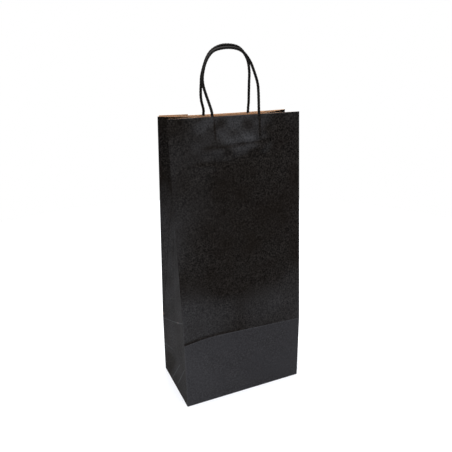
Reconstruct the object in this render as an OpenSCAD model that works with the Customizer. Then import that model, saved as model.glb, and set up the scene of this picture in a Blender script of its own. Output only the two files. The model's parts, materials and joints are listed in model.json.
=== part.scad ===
// Wine gift bag: one folded kraft paper sheet with a block bottom, two gusseted
// sides and two twisted paper handles, each glued between two paper patches.
// Millimetres. The origin is under the middle of the base, +Z up, front at -Y.
// The lower box stands square up to the fold line. Above it the front and the
// back lean in, and each side folds inward, so the mouth is half closed.

/* [Bag] */
// Width of the front and the back
bag_w = 180; // [140:1:220]
// Depth of the base
base_d = 100; // [90:1:120]
// Height of the fold line, where the walls start to lean in
fold_z = 98; // [60:1:110]
// Depth of the bag at the fold line
fold_d = 94; // [86:1:110]
// Length of paper from the fold line to the mouth
wall_l = 292; // [220:1:330]
// Depth of the half closed mouth
mouth_d = 35; // [30:1:60]

/* [Paper] */
// Thickness of each layer of paper
paper_t = 0.25; // [0.15:0.05:0.3]
// Depth of the two flaps that close the base
flap_l = 60; // [52:1:70]
// Width of the glued seam inside the back, at the left
seam_w = 38; // [20:1:45]
// How far the seam's edge stands above the back's edge
seam_step = 1.5; // [0:0.5:2]

/* [Handles] */
// Diameter of the twisted cord
cord_d = 3; // [2:0.5:4]
// Distance between the two legs of a handle where they leave the bag
leg_gap = 63; // [50:1:80]
// Radius of the arch at the top of a handle
arch_r = 36; // [30:0.5:44]
// Height of a handle's top above the mouth
handle_h = 81; // [70:1:110]
// Angle that the leaning legs spread from upright
leg_spread = 5; // [0:0.5:8]

/* [Patches] */
// Width of the patches that hold a handle's ends
patch_w = 106; // [80:1:120]
// Height of the patches
patch_h = 44; // [30:1:60]
// How far the patches sit to the right of the middle
patch_shift = 3; // [0:1:6]

/* [Fold clearances] */
// Gap at the hinge line between the lower box and a leaning wall
hinge_gap = 0.3; // [0.2:0.1:0.6]
// Distance from a side edge at which the gusset's fold starts
edge_gap = 3; // [2:0.5:4]
// Gap on each side of the slanted fold line of a gusset
slant_gap = 1; // [0.5:0.25:2]
// Cut taken off the tip of a gusset's fold at the mouth
tip_gap = 3; // [2:0.5:5]

/* [Hidden] */
$fn = 48;

BLACK_PAPER = [0.13, 0.12, 0.12];
SIDE_PAPER = [0.18, 0.17, 0.17];
KRAFT_PAPER = [0.58, 0.43, 0.31];
CORD_PAPER = [0.10, 0.09, 0.09];

half_w = bag_w / 2;
half_base = base_d / 2;
half_fold = fold_d / 2;
half_mouth = mouth_d / 2;
touch = 0.02;   // air between two layers that are glued face to face

// The panels lean in by panel_lean. The paper can't stretch, so that fixes how
// far each gusset leans in, and how far its front and back folds stand off.
panel_lean = asin((half_fold - half_mouth) / wall_l);
gusset_lean = acos((1 - half_fold / wall_l * sin(panel_lean)) / cos(panel_lean));
gusset_in = wall_l * sin(gusset_lean);
fold_angle = acos(gusset_in / half_fold);

// Places across a panel's thickness, counted inward from its outer face.
patch_base_in = paper_t + touch;
cover_in = patch_base_in + paper_t + touch;
cord_in = cover_in + cord_d / 2;
channel_r = cord_d / 2 + touch;

// A handle turns about an axis a little above the edge of the mouth.
pivot_above = 5;
stub_above = 1;
pivot_v = wall_l + pivot_above;
pivot_y = -half_fold + pivot_v * sin(panel_lean) + cord_in * cos(panel_lean);
pivot_z = fold_z + pivot_v * cos(panel_lean) - cord_in * sin(panel_lean);
mouth_z = fold_z + wall_l * cos(panel_lean);

// The two arches meet at the middle plane with apex_air between them.
apex_air = 0.5;
apex_z = mouth_z + handle_h - cord_d / 2;
apex_y = -(cord_d + apex_air) / 2;
handle_lean = atan((apex_y - pivot_y) / (apex_z - pivot_z));
arch_z = norm([apex_y - pivot_y, apex_z - pivot_z]) - arch_r;

module paper(points, thick = paper_t) {
    linear_extrude(thick) polygon(points);
}

// Stands a flat shape drawn in x and y up on edge: its y becomes height, and
// its thickness runs inward from the plane y = 0.
module upright() {
    translate([0, paper_t, 0]) rotate([90, 0, 0]) children();
}

// The frame of the front panel: x across, z up the paper, y inward.
module on_front_panel() {
    translate([0, -half_fold, fold_z]) rotate([-panel_lean, 0, 0]) children();
}

module front_to_back() {
    mirror([0, 1, 0]) children();
}

module left_to_right() {
    mirror([1, 0, 0]) children();
}

// ---- Base ----

inside_w = half_w - paper_t - touch;
inside_d = half_base - paper_t - touch;

// The layers of paper that lie under each part of the base.
inner_flap_level = 1;
corner_level = 2;
tuck_level = 3;
seam_level = 5;

module base_flap(level) {
    free_w = inside_w - flap_l;
    translate([0, 0, level * paper_t])
        paper([[-inside_w, -inside_d], [inside_w, -inside_d],
               [free_w, flap_l - inside_d], [-free_w, flap_l - inside_d]]);
}

module base_outer_flap() {
    color(BLACK_PAPER) base_flap(0);
}

module base_inner_flap() {
    color(BLACK_PAPER) front_to_back() base_flap(inner_flap_level);
}

// The corner of each flap is turned back under the tuck beside it.
module corner_fold() {
    translate([0, 0, corner_level * paper_t])
        paper([[-inside_w, -inside_d], [flap_l - inside_w, -inside_d],
               [flap_l - inside_w, -touch], [-inside_w + inside_d, -touch]]);
}

module base_corner_folds() {
    color(KRAFT_PAPER) {
        corner_fold();
        left_to_right() corner_fold();
        front_to_back() corner_fold();
        front_to_back() left_to_right() corner_fold();
    }
}

module base_left_tuck() {
    color(KRAFT_PAPER)
        translate([-inside_w, -inside_d, tuck_level * paper_t])
            cube([flap_l, 2 * inside_d, paper_t]);
}

module base_right_tuck() {
    left_to_right() base_left_tuck();
}

// ---- Lower box ----

lower_top = fold_z - hinge_gap;

// How far the front wall has come inward at height z.
function wall_in(z) = (half_base - half_fold) * z / fold_z;

module lower_wall(x_from, x_to, depth_in) {
    front_at_bottom = -half_base + depth_in;
    front_at_top = front_at_bottom + wall_in(lower_top);
    translate([x_from, 0, 0]) rotate([90, 0, 90])
        paper([[front_at_bottom, 0], [front_at_bottom + paper_t, 0],
               [front_at_top + paper_t, lower_top], [front_at_top, lower_top]],
              thick = x_to - x_from);
}

module lower_front_wall() {
    color(SIDE_PAPER) lower_wall(-half_w, half_w, 0);
}

module lower_back_wall() {
    color(BLACK_PAPER) front_to_back() lower_wall(-half_w, half_w, 0);
}

module lower_left_side() {
    at_top = inside_d - wall_in(lower_top);
    color(SIDE_PAPER)
        translate([-half_w, 0, 0]) rotate([90, 0, 90])
            paper([[-inside_d, 0], [inside_d, 0], [at_top, lower_top], [-at_top, lower_top]]);
}

module lower_right_side() {
    left_to_right() lower_left_side();
}

// The part of the glued seam that is below the fold line.
module lower_seam() {
    color(KRAFT_PAPER) front_to_back()
        difference() {
            lower_wall(-inside_w, seam_w - half_w, paper_t + touch);
            translate([-half_w, -half_base, 0]) cube([bag_w, base_d, seam_level * paper_t]);
        }
}

// ---- Leaning panels ----

module panel_sheet(x_from, x_to, v_to, depth_in) {
    translate([x_from, depth_in, hinge_gap])
        cube([x_to - x_from, paper_t, v_to - hinge_gap]);
}

module front_panel() {
    color(BLACK_PAPER) on_front_panel() panel_sheet(-half_w, half_w, wall_l, 0);
}

module back_panel() {
    front_to_back() front_panel();
}

module back_seam() {
    color(KRAFT_PAPER) front_to_back() on_front_panel()
        panel_sheet(-half_w + edge_gap / 2, seam_w - half_w, wall_l + seam_step, patch_base_in);
}

// ---- Handle patches ----

patch_left = patch_shift - patch_w / 2;
patch_foot = wall_l - patch_h;
below_mouth = 1;    // from the mouth's edge down to the patches
cord_inset = 2;     // from the patches' foot up to the ends of the cord
cut_past = 1;       // how far a cutting shape runs past what it cuts
patch_long = patch_h - below_mouth;

module patch_base() {
    translate([patch_left, patch_base_in, patch_foot])
        cube([patch_w, paper_t, patch_long]);
}

module at_legs() {
    for (side = [-1, 1])
        translate([side * leg_gap / 2, cord_in, 0]) children();
}

// A sheet pressed over the two cord ends, with a half round channel at each.
module patch_cover() {
    cut_long = patch_long + 2 * cut_past;
    translate([0, 0, patch_foot]) difference() {
        union() {
            translate([patch_left, cover_in, 0]) cube([patch_w, paper_t, patch_long]);
            at_legs() {
                cylinder(r = channel_r + paper_t, h = patch_long);
                translate([-channel_r - paper_t, cover_in - cord_in, 0])
                    cube([2 * (channel_r + paper_t), cord_in - cover_in, patch_long]);
            }
        }
        at_legs() translate([0, 0, -cut_past]) {
            cylinder(r = channel_r, h = cut_long);
            translate([-channel_r, -cord_d, 0]) cube([2 * channel_r, cord_d, cut_long]);
        }
        translate([-half_w, cover_in - cord_d, -cut_past]) cube([bag_w, cord_d, cut_long]);
    }
}

module handle_ends() {
    start = patch_foot + cord_inset;
    at_legs() translate([0, 0, start])
        cylinder(d = cord_d, h = wall_l + stub_above - start);
}

module front_patch_base() {
    color(KRAFT_PAPER) on_front_panel() patch_base();
}

module front_patch_cover() {
    color(KRAFT_PAPER) on_front_panel() patch_cover();
}

module front_handle_ends() {
    color(CORD_PAPER) on_front_panel() handle_ends();
}

module back_patch_base() {
    front_to_back() front_patch_base();
}

module back_patch_cover() {
    front_to_back() front_patch_cover();
}

module back_handle_ends() {
    front_to_back() front_handle_ends();
}

// ---- Handles ----

// The straight leg is tangent to the arch, leg_spread below its ends.
leg_end = [arch_r * cos(leg_spread), arch_z - arch_r * sin(leg_spread)];
leg_start = [leg_gap / 2, 0];
leg_vector = leg_end - leg_start;
leg_long = norm(leg_vector);
leg_angle = atan(leg_vector[0] / leg_vector[1]);
// The cord is a little thinner round the arch, whose ends sit inside the legs.
arch_thinner = 0.1;
leg_overlap = 0.2;
tip_flat = 0.1;

// A straight leg with a round end, which is centred on the axis it turns about.
// The very tip is cut flat.
module handle_leg() {
    translate([leg_start[0], 0, 0]) rotate([0, leg_angle, 0])
        rotate_extrude() intersection() {
            union() {
                circle(d = cord_d);
                square([cord_d / 2, leg_long + leg_overlap]);
            }
            translate([0, tip_flat - cord_d / 2]) square([cord_d, leg_long + cord_d]);
        }
}

module arch() {
    translate([0, 0, arch_z]) rotate([90, 0, 0]) rotate([0, 0, -leg_spread])
        rotate_extrude(angle = 180 + 2 * leg_spread)
            translate([arch_r, 0]) circle(d = cord_d - arch_thinner);
}

module front_handle() {
    $fn = 120;
    color(CORD_PAPER)
        translate([0, pivot_y, pivot_z]) rotate([-handle_lean, 0, 0]) {
            handle_leg();
            left_to_right() handle_leg();
            arch();
        }
}

module back_handle() {
    front_to_back() front_handle();
}

// ---- Gussets ----

// The slanted fold line rises from the fold line at the edge to the tip at the
// mouth: its height up the paper at a distance across from the edge.
function slant_height(across) = across * wall_l / half_fold;

// The middle of a gusset: a tall triangle that leans in about the fold line.
module left_gusset_centre() {
    foot = half_fold - slant_gap;
    apex = slant_height(foot);
    color(SIDE_PAPER)
        translate([-half_w, 0, fold_z]) rotate([0, gusset_lean, 0]) rotate([90, 0, 90])
            paper([[-foot, hinge_gap], [foot, hinge_gap], [0, apex]]);
}

module right_gusset_centre() {
    left_to_right() left_gusset_centre();
}

// The slim triangle between a panel's side edge and the gusset's centre.
module left_gusset_front_fold() {
    reach = half_fold - tip_gap;
    color(SIDE_PAPER) on_front_panel()
        translate([-half_w, 0, 0]) rotate([0, 0, fold_angle])
            translate([0, -paper_t / 2, 0]) upright()
                paper([[edge_gap, slant_height(edge_gap + slant_gap)],
                       [reach, slant_height(reach + slant_gap)],
                       [reach, wall_l], [edge_gap, wall_l]]);
}

module left_gusset_back_fold() {
    front_to_back() left_gusset_front_fold();
}

module right_gusset_front_fold() {
    left_to_right() left_gusset_front_fold();
}

module right_gusset_back_fold() {
    front_to_back() right_gusset_front_fold();
}

base_outer_flap();
base_inner_flap();
base_corner_folds();
base_left_tuck();
base_right_tuck();
lower_front_wall();
lower_back_wall();
lower_left_side();
lower_right_side();
lower_seam();
front_panel();
front_patch_base();
front_patch_cover();
front_handle_ends();
back_panel();
back_seam();
back_patch_base();
back_patch_cover();
back_handle_ends();
front_handle();
back_handle();
left_gusset_centre();
left_gusset_front_fold();
left_gusset_back_fold();
right_gusset_centre();
right_gusset_front_fold();
right_gusset_back_fold();
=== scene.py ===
"""Wine gift bag: one folded sheet of kraft paper, black outside and brown inside, with two twisted
paper handles glued between paper patches.

The shapes are worked out in millimetres in the CAD frame, front at -Y, and go to metres in add_mesh.
"""

import json
import math

import bpy
import numpy as np
from mathutils import Matrix, Vector


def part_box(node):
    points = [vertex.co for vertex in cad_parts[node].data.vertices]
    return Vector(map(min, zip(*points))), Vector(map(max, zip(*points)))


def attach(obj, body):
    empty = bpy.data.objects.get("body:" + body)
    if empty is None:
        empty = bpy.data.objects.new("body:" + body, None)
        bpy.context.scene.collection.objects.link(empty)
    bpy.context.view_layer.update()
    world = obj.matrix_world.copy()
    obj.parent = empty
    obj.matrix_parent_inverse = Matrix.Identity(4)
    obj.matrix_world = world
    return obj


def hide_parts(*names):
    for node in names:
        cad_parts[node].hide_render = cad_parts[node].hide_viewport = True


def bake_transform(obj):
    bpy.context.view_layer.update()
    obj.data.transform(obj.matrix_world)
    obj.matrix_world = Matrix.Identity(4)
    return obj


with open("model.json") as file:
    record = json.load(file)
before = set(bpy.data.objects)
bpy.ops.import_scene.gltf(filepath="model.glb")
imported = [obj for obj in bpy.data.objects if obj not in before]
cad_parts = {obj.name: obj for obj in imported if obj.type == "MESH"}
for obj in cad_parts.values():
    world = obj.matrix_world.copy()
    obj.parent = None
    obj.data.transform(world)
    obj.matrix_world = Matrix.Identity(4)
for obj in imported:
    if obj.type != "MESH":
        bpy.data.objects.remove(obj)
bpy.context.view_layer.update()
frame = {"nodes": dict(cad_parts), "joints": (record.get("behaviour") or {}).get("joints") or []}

MM = 0.001


# ---- Camera, fitted to the corners of the bag ----

CAMERA_AT = (-0.260609, -0.547705, 0.450488)
CAMERA_YAW, CAMERA_PITCH, CAMERA_ROLL = 23.2785, 22.1363, -0.7669
SENSOR, LENS = 36, 37.128
SHIFT_X, SHIFT_Y = 0.02642, 0.05385


def add_camera():
    data = bpy.data.cameras.new("camera")
    data.sensor_width, data.lens = SENSOR, LENS
    data.shift_x, data.shift_y = SHIFT_X, SHIFT_Y
    data.clip_start, data.clip_end = 0.01, 50
    camera = bpy.data.objects.new("camera", data)
    yaw, pitch, roll = [Matrix.Rotation(math.radians(angle), 4, axis) for angle, axis in
                        ((-CAMERA_YAW, "Z"), (90 - CAMERA_PITCH, "X"), (CAMERA_ROLL, "Z"))]
    camera.matrix_world = Matrix.Translation(CAMERA_AT) @ yaw @ pitch @ roll
    bpy.context.scene.collection.objects.link(camera)
    bpy.context.scene.camera = camera


add_camera()


# ---- Sizes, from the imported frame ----

joints = {j["name"]: j for j in frame["joints"]}


def joint_at(name):
    return np.array(joints[name]["pos_m"]) / MM


def corner(node, which):
    return np.array(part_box(node)[which]) / MM


HALF_W = corner("lower_front_wall", 1)[0]
HALF_BASE = -corner("lower_front_wall", 0)[1]
HALF_FOLD, FOLD_Z = -joint_at("front_panel_tilt")[1], joint_at("front_panel_tilt")[2]
# The panel's side edge is the axis that a gusset's fold turns about.
_, UP_Y, UP_Z = np.abs(joints["left_front_fold_turn"]["axis"])
MOUTH_Z = corner("front_panel", 1)[2]
WALL_L = (MOUTH_Z - FOLD_Z) / UP_Z
HALF_MOUTH = HALF_FOLD - WALL_L * UP_Y
GUSSET_DEEP = math.sqrt(HALF_FOLD ** 2 - HALF_MOUTH ** 2)
GUSSET_TIP_Z = FOLD_Z + math.sqrt(WALL_L ** 2 - GUSSET_DEEP ** 2)
PAPER = corner("base_outer_flap", 1)[2]
SEAM_W = corner("back_seam", 1)[0] + HALF_W
SEAM_TOP = (corner("back_seam", 1)[2] - FOLD_Z) / UP_Z
PATCH_LEFT, PATCH_RIGHT = corner("front_patch_base", 0)[0], corner("front_patch_base", 1)[0]
PATCH_FOOT = (corner("front_patch_base", 0)[2] - FOLD_Z) / UP_Z
PATCH_HEAD = (corner("front_patch_base", 1)[2] - FOLD_Z) / UP_Z
PIVOT_Y, PIVOT_Z = -joint_at("front_handle_swing")[1], joint_at("front_handle_swing")[2]
# Radius of the CAD cord, and how far the top of each loop stands off the bag's middle.
CORD_R = 1.5
ARCH_Y = 1.75
LEG_X = corner("front_handle_ends", 1)[0] - CORD_R
HANDLE_TOP = corner("front_handle", 1)[2] - CORD_R


# ---- Materials ----

def add_node(tree, kind, inputs=None, **settings):
    """A shader node with its settings, and its inputs linked from sockets or set to values."""
    node = tree.nodes.new(kind)
    for name, value in settings.items():
        setattr(node, name, value)
    for name, value in (inputs or {}).items():
        if isinstance(value, bpy.types.NodeSocket):
            tree.links.new(value, node.inputs[name])
        else:
            node.inputs[name].default_value = value
    return node


def ramp(tree, factor, *stops):
    """A colour ramp of (position, grey or colour) stops."""
    node = add_node(tree, "ShaderNodeValToRGB", {"Fac": factor})
    elements = node.color_ramp.elements
    while len(elements) < len(stops):
        elements.new(0.5)
    for element, (position, colour) in zip(elements, stops):
        element.position = position
        element.color = (*colour, 1) if isinstance(colour, tuple) else (colour, colour, colour, 1)
    return node.outputs["Color"]


def mix(tree, factor, first, second):
    """A blend of two colours. The node has sockets for each data type, and 0, 6 and 7 are colour's."""
    node = add_node(tree, "ShaderNodeMix", data_type="RGBA")
    sockets = [node.inputs[place] for place in (0, 6, 7)]
    for socket, value in zip(sockets, (factor, first, second)):
        if isinstance(value, bpy.types.NodeSocket):
            tree.links.new(value, socket)
        else:
            socket.default_value = (*value, 1) if isinstance(value, tuple) else value
    return node.outputs[2]


def noise(tree, place, scale, detail, rough=0.6):
    node = add_node(tree, "ShaderNodeTexNoise",
                    {"Vector": place, "Scale": scale, "Detail": detail, "Roughness": rough})
    return node.outputs["Fac"]


def stretched(tree, place, scale):
    return add_node(tree, "ShaderNodeMapping", {"Vector": place, "Scale": scale}).outputs["Vector"]


def where(tree, built):
    """The place at rest: from the attribute that add_mesh writes, or a CAD node's own coordinates."""
    if built:
        return add_node(tree, "ShaderNodeAttribute", attribute_name="rest_at").outputs["Vector"]
    return add_node(tree, "ShaderNodeTexCoord").outputs["Object"]


def middle(tones):
    """The colour a little darker than half way between two."""
    return tuple(a + 0.38 * (b - a) for a, b in zip(*tones))


# Scale, detail and roughness of the fine mottle and the wide stains, and how fibres are stretched.
MOTTLE, WIDE = (470, 5, 0.72), (22, 3, 0.55)
FIBRE_SCALE = (900, 900, 2600)
BUMP_HEIGHT = 0.0004
# Near-black that the paper is darkened towards as painted shade.
PAINTED_SHADE_BLACK = (0.0006, 0.0005, 0.0005)


def times(tree, first, second):
    node = add_node(tree, "ShaderNodeMath", {0: first, 1: second}, operation="MULTIPLY")
    return node.outputs["Value"]


def shade_and_wear_colour(tree, colour, mottle, worn_light_shade):
    """colour changed as the attribute says: below zero darkened towards near-black as painted shade,
    and above zero lightened patchily to the first and then the second of the given colours, where
    the print has rubbed off and where light is painted on."""
    wear_light_shade = add_node(tree, "ShaderNodeAttribute", attribute_name="wear_light_shade").outputs["Fac"]
    # Above zero the print has rubbed off, and light is painted on, patchily with the mottle.
    patchy = times(tree, wear_light_shade, ramp(tree, mottle, (0.3, 0.35), (0.6, 1.0)))
    # Below zero the attribute is painted shade: the colour is darkened towards near-black.
    painted_shade = times(tree, wear_light_shade, -1.0)
    colour = mix(tree, ramp(tree, painted_shade, (0.0, 0.0), (1.0, 1.0)), colour, PAINTED_SHADE_BLACK)
    colour = mix(tree, ramp(tree, patchy, (0.0, 0.0), (0.55, 1.0)), colour, worn_light_shade[0])
    return mix(tree, ramp(tree, patchy, (0.6, 0.0), (0.95, 1.0)), colour, worn_light_shade[1])


def paper_material(name, tones, stain, rough, built=True, worn_light_shade=None, specular=0.5):
    """Paper: fibres, a fine mottle and wide stains in colour, roughness and bump. tones are the dark
    and light colours of the mottle, stain is a colour of wide soft patches, and worn holds the colours
    shown where the print has rubbed off and where light is painted on; with it the paper is also
    darkened as painted shade. built is False for a CAD node, which has no rest_at."""
    material = bpy.data.materials.new(name)
    material.use_nodes = True
    tree = material.node_tree
    shader = tree.nodes["Principled BSDF"]
    place = where(tree, built)
    mottle = noise(tree, place, *MOTTLE)
    wide = noise(tree, place, *WIDE)
    fibre = noise(tree, stretched(tree, place, FIBRE_SCALE), 1.0, 3, 0.6)
    colour = ramp(tree, mottle, (0.37, tones[0]), (0.50, middle(tones)), (0.645, tones[1]))
    colour = mix(tree, ramp(tree, wide, (0.38, 0.0), (0.68, 0.6)), colour, stain)
    if worn_light_shade:
        colour = shade_and_wear_colour(tree, colour, mottle, worn_light_shade)
    relief = mix(tree, 0.35, mix(tree, 0.6, fibre, mottle), wide)
    bump = add_node(tree, "ShaderNodeBump",
                    {"Height": relief, "Distance": BUMP_HEIGHT, "Strength": 0.6})
    roughness = ramp(tree, mottle, (0.25, rough - 0.07), (0.75, rough + 0.08))
    tree.links.new(colour, shader.inputs["Base Color"])
    tree.links.new(roughness, shader.inputs["Roughness"])
    tree.links.new(bump.outputs["Normal"], shader.inputs["Normal"])
    shader.inputs["Specular IOR Level"].default_value = specular
    return material


BLACK_TONES = ((0.0010, 0.0008, 0.0008), (0.0350, 0.0308, 0.0285))
BLACK_STAIN = (0.0095, 0.0070, 0.0052)
# The lower walls are the same black paper in a lighter, bluish copy of its tones and stain: painted
# light, as from the bright floor.
LIT_BLACK_TONES = ((0.0160, 0.0155, 0.0172), (0.0430, 0.0415, 0.0460))
LIT_BLACK_STAIN = (0.0270, 0.0262, 0.0300)
# Grey where the print has rubbed off, which also serves as painted light where the black is lightened,
# and brown where the paper is rubbed through.
RUBBED_AND_LIT = ((0.070, 0.071, 0.077), (0.30, 0.19, 0.11))
KRAFT_TONES = ((0.64, 0.410, 0.250), (0.92, 0.660, 0.450))
KRAFT_STAIN = (0.76, 0.51, 0.32)
CORD_TONES = ((0.0030, 0.0026, 0.0024), (0.0150, 0.0130, 0.0115))
CORD_STAIN = (0.0080, 0.0068, 0.0058)

black_paper = paper_material("black_paper", BLACK_TONES, BLACK_STAIN, 0.72, worn_light_shade=RUBBED_AND_LIT, specular=0.02)
lit_black_paper = paper_material("lit_black_paper", LIT_BLACK_TONES, LIT_BLACK_STAIN, 0.66, worn_light_shade=RUBBED_AND_LIT, specular=0.10)
kraft_paper = paper_material("kraft_paper", KRAFT_TONES, KRAFT_STAIN, 0.78)
raw_edge = paper_material("raw_edge", KRAFT_TONES, KRAFT_STAIN, 0.90)
base_black = paper_material("base_black", BLACK_TONES, BLACK_STAIN, 0.70, built=False, specular=0.12)
base_kraft = paper_material("base_kraft", KRAFT_TONES, KRAFT_STAIN, 0.78, built=False)
cord_paper = paper_material("cord_paper", CORD_TONES, CORD_STAIN, 0.62, specular=0.12)


# ---- Meshes ----

def add_mesh(name, points, faces, face_materials, corner_normals, materials, wear_light_shade=None):
    """A smooth mesh piece. points are in mm. corner_normals has a normal for each face's corners."""
    mesh = bpy.data.meshes.new(name)
    mesh.from_pydata((points * MM).tolist(), [], faces)
    for material in materials:
        mesh.materials.append(material)
    mesh.polygons.foreach_set("material_index", face_materials)
    mesh.polygons.foreach_set("use_smooth", [True] * len(faces))
    rest = mesh.attributes.new("rest_at", "FLOAT_VECTOR", "POINT")
    rest.data.foreach_set("vector", (points * MM).astype(np.float32).ravel())
    worn_light_shade = mesh.attributes.new("wear_light_shade", "FLOAT", "POINT")
    worn_light_shade.data.foreach_set("value", np.zeros(len(points), np.float32) if wear_light_shade is None
                          else wear_light_shade.astype(np.float32).ravel())
    if corner_normals is not None:
        mesh.normals_split_custom_set(corner_normals)
    mesh.validate()
    piece = bpy.data.objects.new(name, mesh)
    bpy.context.scene.collection.objects.link(piece)
    return piece


def unit(vectors):
    return vectors / np.maximum(np.linalg.norm(vectors, axis=-1, keepdims=True), 1e-12)


def outward_normals(surface, across, up, facing):
    small = 1e-3
    along = surface(across + small, up) - surface(across - small, up)
    rise = surface(across, up + small) - surface(across, up - small)
    return facing * unit(np.cross(along, rise))


def sheet_faces(rows, columns, facing):
    """Quads of the outer face of a sheet's grid, and of its rim, which joins it to the inner face."""
    count = rows * columns
    index = np.arange(count).reshape(rows, columns)
    corners = [index[:-1, :-1], index[:-1, 1:], index[1:, 1:], index[1:, :-1]]
    quads = np.stack(corners, -1).reshape(-1, 4)
    border = np.concatenate([index[0, :-1], index[:-1, -1], index[-1, :0:-1], index[:0:-1, 0]])
    after = np.roll(border, -1)
    rims = np.stack([border, border + count, after + count, after], -1)
    return (quads, rims) if facing > 0 else (quads[:, ::-1], rims[:, ::-1])


def sheet(name, across, up, surface, facing=1, wear_light_shade=None, outer=None, cut_top=False):
    """A closed sheet of paper on a grid. surface(across, up) gives its outer face in mm, and the
    inner face lies one paper thickness inside. facing is 1 where across x up points outward.
    The rim is shaded as part of the outer face, where the paper goes on round a fold, except for a
    cut edge at the top, which is brown."""
    rows, columns = across.shape
    count = rows * columns
    normals = outward_normals(surface, across, up, facing)
    top = surface(across, up)
    points = np.concatenate([top.reshape(-1, 3), (top - normals * PAPER).reshape(-1, 3)])
    quads, rims = sheet_faces(rows, columns, facing)
    cut = cut_top & ((rims % count) >= count - columns).all(axis=1)
    square = unit(np.cross(points[rims[:, 2]] - points[rims[:, 0]],
                           points[rims[:, 3]] - points[rims[:, 1]]))
    flat = normals.reshape(-1, 3)
    rim_normals = np.where(cut[:, None, None], square[:, None], flat[rims % count])
    corner_normals = np.concatenate([flat[quads], -flat[quads[:, ::-1]], rim_normals]).reshape(-1, 3)
    faces = np.concatenate([quads, quads[:, ::-1] + count, rims])
    kinds = [0] * len(quads) + [1] * len(quads) + [2 if is_cut else 0 for is_cut in cut]
    worn_light_shade = None
    if wear_light_shade is not None:
        worn_light_shade = np.concatenate([wear_light_shade(across, up).ravel(), np.zeros(count)])
    return add_mesh(name, points, faces.tolist(), kinds, corner_normals.tolist(),
                    [outer or black_paper, kraft_paper, raw_edge], worn_light_shade)


FINE_GAPS = (0, 0.4, 0.9, 1.6, 2.5)
LEAST_GAP = 0.2


def spaced(low, high, step, fine=()):
    """Grid lines at about step, with extra lines close together round each place in fine."""
    lines = np.linspace(low, high, max(2, round((high - low) / step) + 1))
    extra = [place + side * gap for place in fine for side in (-1, 1) for gap in FINE_GAPS]
    lines = np.concatenate([lines, [x for x in extra if low <= x <= high]])
    lines = np.unique(np.round(lines, 4))
    return lines[np.concatenate([[True], np.diff(lines) > LEAST_GAP])]


def step_up(value, start, end):
    t = np.clip((value - start) / (end - start), 0, 1)
    return t * t * (3 - 2 * t)


def mound(value, centre, width):
    return np.exp(-((value - centre) / width) ** 2)


# ---- Shape of the front and back ----

# The front is pushed in along its fold line, deepest near the left at a share DENT_AT of the width,
# and the dent fades upward. The back has a shallower one, and its mouth bows in.
DENT, DENT_AT, DENT_FADES = 9.0, 0.22, 45.0
BACK_DENT, BACK_MOUTH_DENT = 4.0, 4.5
# How far the panels bulge, and how far the patches and the cord ends show through them.
BULGE = 4.5
PATCH_RELIEF, CORD_RELIEF = 0.6, 0.7
# The paper stands out in a lip just above the fold line, round x = LIP_X.
LIP, LIP_X = 1.3, -66
WAVE_HEIGHT = 0.35


def front_dent(x):
    """How far the fold line is pushed in at x: two straight runs that meet in a soft kink."""
    q = np.clip((x + HALF_W) / (2 * HALF_W), 1e-4, 1 - 1e-4)
    left, right = DENT * q / DENT_AT, DENT * (1 - q) / (1 - DENT_AT)
    return (left ** -4 + right ** -4) ** -0.25


def edge_window(x):
    return 1 - (x / HALF_W) ** 2


def patch_relief(x, v):
    """The patches and the cord ends show faintly through the paper. v is mm above the fold line."""
    inside = (step_up(x, PATCH_LEFT - 1, PATCH_LEFT + 1)
              * (1 - step_up(x, PATCH_RIGHT - 1, PATCH_RIGHT + 1))
              * step_up(v, PATCH_FOOT - 1, PATCH_FOOT + 1))
    cords = mound(x, -LEG_X, 2.0) + mound(x, LEG_X, 2.0)
    return inside * (PATCH_RELIEF + CORD_RELIEF * cords)


def ripples(x, v, seed, count, across, up):
    """A sum of sine waves. across and up are the ranges of their seeded turns, in radians per mm."""
    random = np.random.RandomState(seed)
    total = 0 * x
    for _ in range(count):
        a, b, c = random.uniform(*across), random.uniform(*up), random.uniform(0, 6.3)
        total = total + np.sin(a * x + b * v + c)
    return total


def waves(x, v, seed):
    """Slow hollows and swells of a millimetre or less, none at the side edges."""
    return WAVE_HEIGHT * ripples(x, v, seed, 5, (0.015, 0.05), (0.008, 0.035)) * edge_window(x)


def swell(x, v, seed):
    """The panel's soft bulge, with slow waves in it, none at its edges."""
    away = step_up(v, 0, 60) * (1 - step_up(v, 250, WALL_L))
    bulge = BULGE * np.sin(math.pi * np.clip(v / WALL_L, 0, 1)) * edge_window(x)
    return bulge + waves(x, v, seed) * away


def blotches(x, v, seed):
    """Soft patches between -1 and 1, one to three centimetres across."""
    return np.clip(ripples(x, v, seed, 6, (-0.28, 0.28), (0.10, 0.34)) / 2.6, -1, 1)


def wrinkles(x, v):
    """Soft creases across the paper under the patch, from the glue pulling at it."""
    low = mound(v, 238 + 0.06 * x + 2 * np.sin(0.09 * x), 2.6) * mound(x, -8, 38)
    high = mound(v, 257 + 0.05 * x, 2.2) * mound(x, 12, 42)
    return -0.45 * low - 0.4 * high + 0.35 * mound(v, 262, 9) * mound(x, 5, 22)


def front_relief(x, v):
    lip = LIP * mound(x, LIP_X, 30) * (1 - np.exp(-v / 2)) * np.exp(-v / 14)
    dent = front_dent(x) * np.exp(-v / DENT_FADES)
    return swell(x, v, seed=3) - dent + lip + patch_relief(x, v) + wrinkles(x, v)


def back_relief(x, v):
    dent = -BACK_DENT * edge_window(x) * np.exp(-v / DENT_FADES)
    mouth = -BACK_MOUTH_DENT * edge_window(x + 8 * edge_window(x)) * (v / WALL_L) ** 4
    return swell(x, v, seed=8) + dent + mouth + patch_relief(x, v)


def panel_point(relief, front, x, v, depth=0.0):
    """A point of the front (front is -1) or the back (1), depth mm inside its outer face."""
    out = relief(x, v) - depth
    return np.stack([x + 0 * v, front * (HALF_FOLD - v * UP_Y + out * UP_Z),
                     FOLD_Z + v * UP_Z + out * UP_Y], -1)


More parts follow.
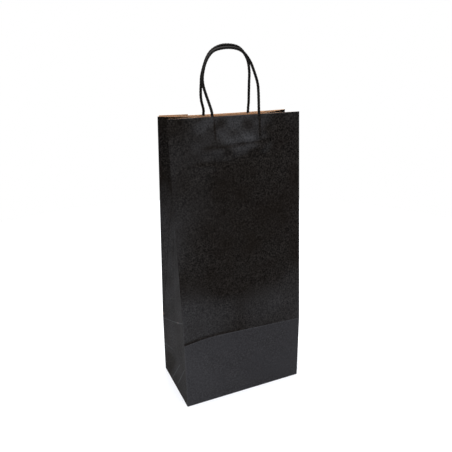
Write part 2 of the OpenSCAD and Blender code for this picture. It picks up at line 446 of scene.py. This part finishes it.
def wall_point(relief, front, x, rise, depth=0.0):
    """A point of the lower front or back; rise is 0 at the base and 1 at the fold line."""
    fold = panel_point(relief, front, x, 0 * rise, depth)
    bow = front * fold[..., 1] - (HALF_FOLD - depth)
    y = HALF_BASE - depth + (HALF_FOLD - HALF_BASE) * rise + bow * np.abs(rise) ** 1.4
    return np.stack([x + 0 * rise, front * y, rise * fold[..., 2]], -1)


# ---- Wear, painted light and painted shade of the front and back ----

# Above 0 the paper is lightened, where the print has rubbed off, down to brown paper at about 1,
# and where light is painted on. Below 0 it is darkened towards black as painted shade.


def edge_wear(x):
    return mound(np.abs(x), HALF_W, 0.7)


def frayed_edge(x, v):
    """Rubbed down to the brown at the cut edge, more in some places than in others."""
    return np.clip((v - WALL_L + 0.9) / 0.5, 0, 1) * (0.45 + 0.35 * np.sin(0.11 * x + 2.0))


def patch_wear_and_shade(x, v):
    """Scuffed over the raised patch. Darkened in its wrinkles as painted shade, lighter on the swell
    above them, and darkened beside the cord ends as painted shadow, more at the right one.
    """
    patch = step_up(v, 222, 262) * (1 - step_up(np.abs(x + 4), 36, 70))
    scuffed = patch * (0.19 + 0.13 * blotches(x, v, seed=5))
    # Painted shadow beside the cord ends, stronger at the right one.
    cord_shadow = 0.5 * mound(x, LEG_X - 0.6, 1.1) + 0.2 * mound(x, 0.6 - LEG_X, 1.1)
    # The wrinkles darken the paper in their troughs as painted shade.
    return scuffed + 0.9 * wrinkles(x, v) - step_up(v, 262, 268) * cord_shadow


def painted_light_and_shade(x, v):
    """Painted light and shade with a faint random tone: blackest half way up and to the right, and
    lighter towards the left and low down, most at the edges, as lit from the left and by the floor.
    """
    half_way = step_up(v, 20, 120) * (1 - step_up(v, 225, 285))
    to_left = step_up(v, 60, 150) * (1 - step_up(v, 220, 290)) * (0.06 - 0.22 * x / HALF_W)
    low = 1 - step_up(v, 40, 130)
    low_tone = 0.06 + 0.17 * np.abs(x + 6) / HALF_W - 0.05 * x / HALF_W
    return 0.05 * blotches(0.3 * x, 0.3 * v, seed=9) - 0.14 * half_way + to_left + low * low_tone


# Rubbed print at the low edges and the cut edge, with painted light and shade from the patch, the lip
# and the slow tone change.
def panel_wear_and_shade(x, v):
    # Painted shadow just above the fold line, under the lip.
    lip_shadow = mound(v, 1.8, 2.2) * mound(x, LIP_X, 34)
    low_edges = 0.2 * edge_wear(x) * (1 - step_up(v, 10, 60))
    return np.maximum(patch_wear_and_shade(x, v) - lip_shadow + painted_light_and_shade(x, v) + low_edges, frayed_edge(x, v))


def wall_wear_and_light(x, rise):
    """Rubbed along the side edges, the fold line and the base, and lighter towards the left as painted
    light.
    """
    # Painted light: lighter towards the left, with a faint random tone.
    across = (0.02 * blotches(0.4 * x, 30 * rise, seed=4) - 0.06 * x / HALF_W
              + 0.03 * step_up(-x, 10, 60))
    along = 0.3 * np.maximum(mound(rise, 1, 0.008), mound(rise, 0, 0.008))
    return np.maximum(0.3 * edge_wear(x), along) + across


# ---- Front and back ----

# Size of a panel's grid cells.
CELL_W, CELL_H = 2.0, 2.6


def panel_pieces(side, front, relief):
    """The leaning panel and the lower wall of the front (front is -1) or the back (1)."""
    fine_x = (-HALF_W, HALF_W, -LEG_X, LEG_X, PATCH_LEFT, PATCH_RIGHT)
    x, v = np.meshgrid(spaced(-HALF_W, HALF_W, CELL_W, fine_x),
                       spaced(0, WALL_L, CELL_H, (0, PATCH_FOOT, WALL_L)))
    panel = sheet(side + "_panel_paper", x, v, lambda a, b: panel_point(relief, front, a, b),
                  facing=-front, wear_light_shade=panel_wear_and_shade, cut_top=True)
    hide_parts(side + "_panel")
    bend_at_fold(panel)
    x, rise = np.meshgrid(spaced(-HALF_W, HALF_W, CELL_W, (-HALF_W, HALF_W)), np.linspace(0, 1, 50))
    # The lower wall's outer face takes the lighter, bluish copy of the black paper, which is painted
    # light.
    wall = sheet("lower_" + side + "_paper", x, rise, lambda a, b: wall_point(relief, front, a, b),
                 facing=-front, wear_light_shade=wall_wear_and_light, outer=lit_black_paper)
    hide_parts("lower_" + side + "_wall")
    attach(wall, "base")


def bend_at_fold(piece):
    """Bakes the piece's transform into its mesh."""
    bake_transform(piece)


panel_pieces("front", -1, front_relief)
panel_pieces("back", 1, back_relief)


# ---- Seam inside the back ----

# Depth of a second layer of paper, a hair's breadth inside the first, and how far the seam's layer
# stays clear of the side.
LAYER = PAPER + 0.02
SEAM_GAP = 1.5


def seam_pieces():
    left = -HALF_W + SEAM_GAP
    across = spaced(left, SEAM_W - HALF_W, CELL_W)
    x, v = np.meshgrid(across, spaced(0, SEAM_TOP, CELL_H, (SEAM_TOP,)))
    seam = sheet("back_seam_paper", x, v,
                 lambda a, b: panel_point(back_relief, 1, a, b, LAYER), facing=-1, outer=kraft_paper,
                 cut_top=True)
    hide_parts("back_seam")
    bend_at_fold(seam)
    x, rise = np.meshgrid(across, np.linspace(0.014, 1, 40))
    lower = sheet("lower_seam_paper", x, rise,
                  lambda a, b: wall_point(back_relief, 1, a, b, LAYER), facing=-1, outer=kraft_paper)
    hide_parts("lower_seam")
    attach(lower, "base")


seam_pieces()


# ---- Handle patches ----

# Depth of a cord's centreline between the patches, the channel for it in the cover, and the width
# over which the cover comes back down beside it.
CORD_IN = 2 * LAYER + CORD_R
CHANNEL_R = CORD_R + 0.25
SKIRT = 2.5


def cover_depth(x):
    """Depth of the cover's outward face: against the base sheet, but over each cord in a channel."""
    depth = 0 * x + 2 * LAYER
    for leg in (-LEG_X, LEG_X):
        gap = np.abs(x - leg)
        arch = CORD_IN + np.sqrt(np.clip(CHANNEL_R ** 2 - gap ** 2, 0, None))
        depth = np.where(gap < CHANNEL_R, arch, depth)
        skirt = 2 * LAYER + CORD_R * (1 - step_up(gap, CHANNEL_R, CHANNEL_R + SKIRT))
        depth = np.maximum(depth, np.where(gap >= CHANNEL_R, skirt, 0))
    return depth


def patch_pieces(side, front, relief):
    fine_x = [leg + gap for leg in (-LEG_X, LEG_X) for gap in (-1.8, 0, 1.8)]
    x, v = np.meshgrid(spaced(PATCH_LEFT, PATCH_RIGHT, CELL_W / 2, fine_x),
                       spaced(PATCH_FOOT, PATCH_HEAD, CELL_H))
    for part, depth in (("base", lambda a: LAYER), ("cover", cover_depth)):
        piece = sheet(f"{side}_patch_{part}_paper", x, v,
                      lambda a, b, depth=depth: panel_point(relief, front, a, b, depth(a)),
                      facing=-front, outer=kraft_paper, cut_top=True)
        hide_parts(f"{side}_patch_{part}")
        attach(piece, side + "_panel")


patch_pieces("front", -1, front_relief)
patch_pieces("back", 1, back_relief)


# ---- Sides ----

# How far a side is folded in at its cross crease, and how much it folds in above it before the V
# deepens to the mouth.
FOLD_DEEP, ABOVE_DEEP = 4.0, 8.0
# How far a gusset's edges lie inside the panels' outer faces, which is just inside their paper.
EDGE_IN = 1.15 * PAPER
# The flaps of a gusset's middle: their width low down and near the mouth, how far they lie under the
# folds, the share of the height that they reach, and how far they lean along with the folds there.
FLAP_LOW_W, FLAP_HIGH_W, FLAP_DROP, FLAP_TOP, FLAP_LEAN = 16.0, 24.0, 0.32, 0.995, 0.45
# Where each slanting fold low on a side would meet the base, as r; how many mm it climbs towards the
# front for one r; and the middle and half the height of its rubbed run.
SLANTS = ((0.38, 64, 29, 27), (-0.03, 68, 34, 26))
# Height of the lower cross crease at the back edge, and how much it rises for one r to the front.
LOW_CREASE, LOW_CREASE_RISE = 47.5, 13
# Where the cross crease has a worn spot.
SPOT_R = -0.28


def half_depth(z):
    """Half the depth of a side at height z. Towards the mouth the gusset's edges move in under the
    panels."""
    below = HALF_BASE + (HALF_FOLD - HALF_BASE) * z / FOLD_Z
    depth = np.where(z < FOLD_Z, below, HALF_FOLD - (z - FOLD_Z) * UP_Y / UP_Z)
    return depth - EDGE_IN * step_up(z, 0, 250)


def crease_z(r):
    """The side's cross crease, higher at the front edge (r is -1) than at the back edge (1)."""
    return FOLD_Z + 11 - 19.5 * r + 2.5 * r * r


def side_depth(r, z):
    """How far a side is folded in: slightly below the crease, and deeper and deeper up to the mouth,
    where the soft hollow has become a sharp V."""
    crease = crease_z(r)
    below = FOLD_DEEP * np.clip(z / crease, 0, None) ** 1.6
    t = np.clip((z - crease) / (MOUTH_Z - crease), 0, None)
    above = FOLD_DEEP + ABOVE_DEEP * t + (GUSSET_DEEP - FOLD_DEEP - ABOVE_DEEP) * t ** 4
    sharp = 0.35 + 0.65 * np.clip(t, 0, 1) ** 2
    soft = 1 - r ** 4
    return np.where(z < crease, below, above) * ((1 - sharp) * soft + sharp * (1 - np.abs(r)))


def side_point(left, r, z, drop=0.0):
    """A point of the left (left is -1) or right (1) side, drop mm inside its face. r runs from -1 in
    front to 1 at the back."""
    return np.stack([left * (HALF_W - side_depth(r, z) - drop), r * half_depth(z), z + 0 * r], -1)


def gusset_z(r, q):
    """Height of row q, which runs from 0 at the fold line to 1 at the mouth."""
    top = MOUTH_Z - (MOUTH_Z - GUSSET_TIP_Z) * (1 - np.abs(r))
    return FOLD_Z + q * (top - FOLD_Z)


def crease_wear(r, z, low_z):
    """Rubbed along the creases, and in a spot on the cross crease. low_z is the height of the lower
    cross crease, which shows towards the back."""
    cross = mound(z, crease_z(r), 0.9) * (0.75 + 0.25 * mound(r, -0.3, 0.4))
    spot = mound(z, crease_z(r), 1.6) * mound(r, SPOT_R, 0.04)
    low = mound(z, low_z, 0.9) * step_up(r, 0.05, 0.35)
    slants = [mound(r, foot - z / climb, 0.026) * (1 - step_up(np.abs(z - centre), 20, half))
              for foot, climb, centre, half in SLANTS]
    valley = mound(r, 0, 0.03) * step_up(z, crease_z(r), crease_z(r) + 20)
    return np.maximum.reduce([0.62 * cross, 1.3 * spot, 0.5 * low, 0.48 * np.maximum(*slants),
                              0.28 * valley])


def side_wear_and_shade(r, z):
    """Rubbed at the edges, along the creases and round the base. Painted shade deep in the gusset's
    valley next to the front, and on the lowest part, tucked in towards the back, where it faces down.
    Painted light up to about z = 280, fading out towards the mouth."""
    low_z = LOW_CREASE + LOW_CREASE_RISE * (1 - r)
    foot, climb = SLANTS[0][:2]
    edge = mound(1 - np.abs(r), 0, 0.02) * (1 - step_up(z, 90, 170))
    # Painted shade in the gusset's deep valley next to the front.
    valley_shade = step_up(z, 250, 335) * (0.85 - 0.75 * step_up(r, -0.75, 0.9))
    # Painted shade on the lowest part behind the slanting fold, where it faces down.
    behind = step_up(r, foot - z / climb, foot + 0.72 - z / climb)
    tucked_shade = 0.5 * behind * (1 - step_up(z, low_z - 26, low_z - 6))
    # Painted light below z = 280, with a faint random tone.
    soft = 0.04 * blotches(20 * r, 0.5 * z, seed=6) + 0.16 - 0.16 * step_up(z, 280, 350)
    return np.maximum.reduce([soft - valley_shade - tucked_shade, 0.5 * edge, crease_wear(r, z, low_z),
                              0.3 * mound(z, 0, 0.8)])


# Rubbed print and painted light and shade of a side, by gusset row.
def gusset_wear_and_shade(r, q):
    return side_wear_and_shade(r, gusset_z(r, q))


def spaced_fraction(count, fine):
    """Grid lines from -1 to 1, closer together at the places in fine."""
    extra = [place + side * gap for place in fine for side in (-1, 1) for gap in (0.008, 0.018, 0.035)]
    lines = np.concatenate([np.linspace(-1, 1, count), extra])
    return np.unique(np.round(np.clip(lines, -1, 1), 5))


def lower_side(side, left):
    r, z = np.meshgrid(spaced_fraction(72, (-1, 1, 0)), spaced(0, FOLD_Z, 0.9, (0, FOLD_Z)))
    wall = sheet(f"lower_{side}_paper", r, z, lambda a, b: side_point(left, a, b), facing=left,
                 wear_light_shade=side_wear_and_shade)
    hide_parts(f"lower_{side}_side")
    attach(wall, "base")


def gusset_rows(lowest, highest):
    """Shares of a gusset's height, close together where the cross crease runs."""
    return np.concatenate([np.linspace(lowest, 0.12, 44), np.linspace(0.128, highest, 110)])[:, None]


def centre_point(left, r, q):
    """A point of the gusset's face inside the two slanted lines. Past them the flaps run on nearly
    straight, so that they stay behind the folds when the bag opens."""
    line, z = 1 - q, gusset_z(r, q)
    lean = FLAP_LEAN * step_up(q, 0.5, 1)
    straight = side_depth(np.clip(r, -line, line), z)
    back = (1 - lean) * (straight - side_depth(r, z))
    drop = FLAP_DROP * step_up(np.abs(r), np.clip(line - 0.3, 0, 1), line + 1e-3)
    return side_point(left, r, z, drop + back)


def centre_piece(side, left):
    """The middle triangle, with a flap each side that lies under the front and back folds."""
    q = gusset_rows(0, FLAP_TOP)
    share = np.concatenate([np.linspace(-1, -0.86, 8), np.linspace(-0.84, 0.84, 57),
                            np.linspace(0.86, 1, 8)])
    depth = HALF_FOLD + q * (GUSSET_DEEP + HALF_MOUTH - HALF_FOLD)
    flap = FLAP_LOW_W + (FLAP_HIGH_W - FLAP_LOW_W) * step_up(q, 0.45, 0.75)
    r = share[None, :] * np.minimum((1 - q) + flap / depth, 0.985)
    piece = sheet(f"{side}_gusset_centre_paper", r, np.repeat(q, r.shape[1], axis=1),
                  lambda a, b: centre_point(left, a, b), facing=left, wear_light_shade=gusset_wear_and_shade)
    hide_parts(f"{side}_gusset_centre")
    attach(piece, f"{side}_gusset")


def fold_piece(side, left, place, front):
    """The slim triangle between a panel's side edge and the middle triangle's slanted edge."""
    q = gusset_rows(0.012, 1)
    share = np.concatenate([[0, 0.01, 0.025, 0.05], np.linspace(0.08, 1, 26)])[None, :]
    r = front * (1 - share * q * 0.995)
    if front > 0:
        r = r[:, ::-1]
    piece = sheet(f"{side}_gusset_{place}_fold_paper", r, np.repeat(q, r.shape[1], axis=1),
                  lambda a, b: side_point(left, a, gusset_z(a, b)), facing=left, wear_light_shade=gusset_wear_and_shade,
                  cut_top=True)
    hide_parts(f"{side}_gusset_{place}_fold")
    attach(piece, f"{side}_{place}_fold")


for side, left in (("left", -1), ("right", 1)):
    lower_side(side, left)
    centre_piece(side, left)
    fold_piece(side, left, "front", -1)
    fold_piece(side, left, "back", 1)


# ---- Handles ----

# Places on each loop's centreline, left foot to right foot: x in mm, and the share of the way up
# from the pivot to the top. The loops are uneven, as the photo's are.
FRONT_LOOP = ((-32.7, 0.02), (-35.2, 0.15), (-38.1, 0.29), (-40.4, 0.43), (-39.6, 0.57), (-34.2, 0.76),
              (-24.6, 0.90), (-10.5, 0.952), (4.5, 0.948), (15.0, 0.892), (23.8, 0.75), (29.2, 0.57),
              (32.4, 0.41), (32.8, 0.26), (31.4, 0.02))
BACK_LOOP = ((-31.8, 0.02), (-34.4, 0.15), (-35.2, 0.27), (-35.3, 0.42), (-34.8, 0.57), (-29.8, 0.80),
             (-22.8, 0.925), (-11.0, 0.992), (4.5, 0.990), (15.5, 0.930), (25.0, 0.78), (29.2, 0.60),
             (30.4, 0.42), (31.4, 0.24), (31.5, 0.10), (31.2, 0.02))
# Radius of each of a cord's three strands, and how far out its middle lies.
STRAND_R, STRAND_OUT = 1.36, 0.42
TWIST_PITCH = 11.0
# Points in each ring of the cord's mesh, and the distance between rings.
RING, RING_STEP = 24, 0.9


def smooth_path(points, step):
    """A Catmull-Rom curve through points, cut into equal steps."""
    padded = np.concatenate([[2 * points[0] - points[1]], points, [2 * points[-1] - points[-2]]])
    t = np.linspace(0, 1, 40, endpoint=False)[:, None]
    dense = []
    for a, b, c, d in zip(padded, padded[1:], padded[2:], padded[3:]):
        dense.append(0.5 * (2 * b + (c - a) * t + (2 * a - 5 * b + 4 * c - d) * t ** 2
                            + (3 * b - a - 3 * c + d) * t ** 3))
    dense = np.concatenate(dense + [points[-1:]])
    run = np.concatenate([[0], np.cumsum(np.linalg.norm(np.diff(dense, axis=0), axis=1))])
    places = np.linspace(0, run[-1], round(run[-1] / step) + 1)
    return np.stack([np.interp(places, run, dense[:, k]) for k in range(3)], -1), places


def strand_radius(angle):
    """Outline of three round strands laid together."""
    sector = (angle + math.pi / 3) % (2 * math.pi / 3) - math.pi / 3
    return STRAND_OUT * np.cos(sector) + np.sqrt(STRAND_R ** 2 - (STRAND_OUT * np.sin(sector)) ** 2)


def loop_point(front, relief, x, share):
    """A point of the loop. Its lowest part eases over to where the patches hold the cord."""
    z = PIVOT_Z + share * (HANDLE_TOP - PIVOT_Z)
    held = relief(np.array(math.copysign(LEG_X, x)), np.array(WALL_L)) * UP_Z
    y = PIVOT_Y + share * (ARCH_Y - PIVOT_Y) + held * (1 - step_up(share, 0, 0.3))
    return [x, front * y, z]


def foot_points(front, relief, leg, foot):
    """The cord from the foot of the patches up to the mouth, where the loop goes on at x = foot."""
    heights = (PATCH_FOOT + 2, PATCH_FOOT + 14, PATCH_FOOT + 28, PATCH_HEAD - 4)
    places = [(leg, height) for height in heights] + [((leg + foot) / 2, WALL_L)]
    return [panel_point(relief, front, np.array(x), np.array(v), CORD_IN) for x, v in places]


def cord_path(front, relief, loop):
    left = foot_points(front, relief, -LEG_X, loop[0][0])
    right = foot_points(front, relief, LEG_X, loop[-1][0])
    arch = [loop_point(front, relief, x, share) for x, share in loop]
    return np.array(left + arch + right[::-1])


def cord_points(path, run):
    """Rings of points round path, which turn with the twist, and then its two end points."""
    tangent = unit(np.gradient(path, axis=0))
    across = unit(np.cross(tangent, [0, 1, 0]))
    normal = np.cross(across, tangent)
    angle = np.linspace(0, 2 * math.pi, RING, endpoint=False)
    radius = strand_radius(angle[None, :] - 2 * math.pi * run[:, None] / TWIST_PITCH)[..., None]
    outward = (across[:, None] * np.cos(angle)[None, :, None]
               + normal[:, None] * np.sin(angle)[None, :, None])
    rings = (path[:, None] + outward * radius).reshape(-1, 3)
    return np.concatenate([rings, path[:1], path[-1:]])


def cord_faces(rings):
    index = np.arange(rings * RING).reshape(rings, RING)
    ahead = np.roll(index, -1, axis=1)
    first, last = rings * RING, rings * RING + 1
    faces = np.stack([index[:-1], ahead[:-1], ahead[1:], index[1:]], -1).reshape(-1, 4).tolist()
    faces += [[first, b, a] for a, b in zip(index[0], ahead[0])]
    faces += [[last, a, b] for a, b in zip(index[-1], ahead[-1])]
    return faces


def handle_piece(side, front, relief, loop):
    """One twisted cord, from inside the patches on the left, round the loop, to those on the right."""
    path, run = smooth_path(cord_path(front, relief, loop), RING_STEP)
    faces = cord_faces(len(path))
    piece = add_mesh(side + "_handle_cord", cord_points(path, run), faces, [0] * len(faces), None,
                     [cord_paper])
    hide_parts(side + "_handle", side + "_handle_ends")
    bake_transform(piece)


handle_piece("front", -1, front_relief, FRONT_LOOP)
handle_piece("back", 1, back_relief, BACK_LOOP)


# ---- Base ----

def coat(node, material):
    mesh = frame["nodes"][node]
    mesh.data.materials.clear()
    mesh.data.materials.append(material)


for name in ("base_outer_flap", "base_inner_flap"):
    coat(name, base_black)
for name in ("base_corner_folds", "base_left_tuck", "base_right_tuck"):
    coat(name, base_kraft)


# ---- Floor and light ----

FLOOR_R, FLOOR_EDGES, FLOOR_DROP = 1.0, 96, 0.0002
FLOOR_TONES = ((0.60, 0.61, 0.635), (0.63, 0.64, 0.665))


def add_floor():
    material = bpy.data.materials.new("floor")
    material.use_nodes = True
    tree = material.node_tree
    shader = tree.nodes["Principled BSDF"]
    tone = noise(tree, where(tree, built=False), 0.8, 2)
    colour = ramp(tree, tone, (0.3, FLOOR_TONES[0]), (0.7, FLOOR_TONES[1]))
    tree.links.new(colour, shader.inputs["Base Color"])
    shader.inputs["Roughness"].default_value = 0.9
    shader.inputs["Specular IOR Level"].default_value = 0.0
    shader.inputs["Emission Color"].default_value = (0.97, 0.98, 1.0, 1)
    shader.inputs["Emission Strength"].default_value = 0.35
    mesh = bpy.data.meshes.new("floor")
    turns = [2 * math.pi * k / FLOOR_EDGES for k in range(FLOOR_EDGES)]
    mesh.from_pydata([(FLOOR_R * math.cos(t), FLOOR_R * math.sin(t), 0) for t in turns], [],
                     [list(range(FLOOR_EDGES))])
    mesh.materials.append(material)
    floor = bpy.data.objects.new("floor", mesh)
    floor.location.z = -FLOOR_DROP
    bpy.context.scene.collection.objects.link(floor)


def add_area_light(name, at, look_at, size, power):
    data = bpy.data.lights.new(name, "AREA")
    data.shape, data.size, data.energy = "SQUARE", size, power
    light = bpy.data.objects.new(name, data)
    light.location = at
    light.rotation_euler = (Vector(look_at) - Vector(at)).to_track_quat("-Z", "Y").to_euler()
    bpy.context.scene.collection.objects.link(light)


def add_world():
    """The bag stands on a bright table in a dim room, before a white ground that lights nothing."""
    world = bpy.data.worlds.new("studio")
    bpy.context.scene.world = world
    world.use_nodes = True
    tree = world.node_tree
    background = tree.nodes["Background"]
    way = add_node(tree, "ShaderNodeTexCoord").outputs["Generated"]
    height = add_node(tree, "ShaderNodeSeparateXYZ", {"Vector": way}).outputs["Z"]
    room = ramp(tree, height, (0.0, 0.10), (0.25, 0.18), (0.8, 0.75))
    seen = add_node(tree, "ShaderNodeLightPath").outputs["Is Camera Ray"]
    tree.links.new(mix(tree, seen, room, (1.0, 1.0, 1.0)), background.inputs["Color"])


add_floor()
add_area_light("key", at=(0, 0.1, 1.7), look_at=(0, 0.1, 0), size=1.4, power=48)
add_world()
bpy.context.scene.view_settings.view_transform = "Standard"
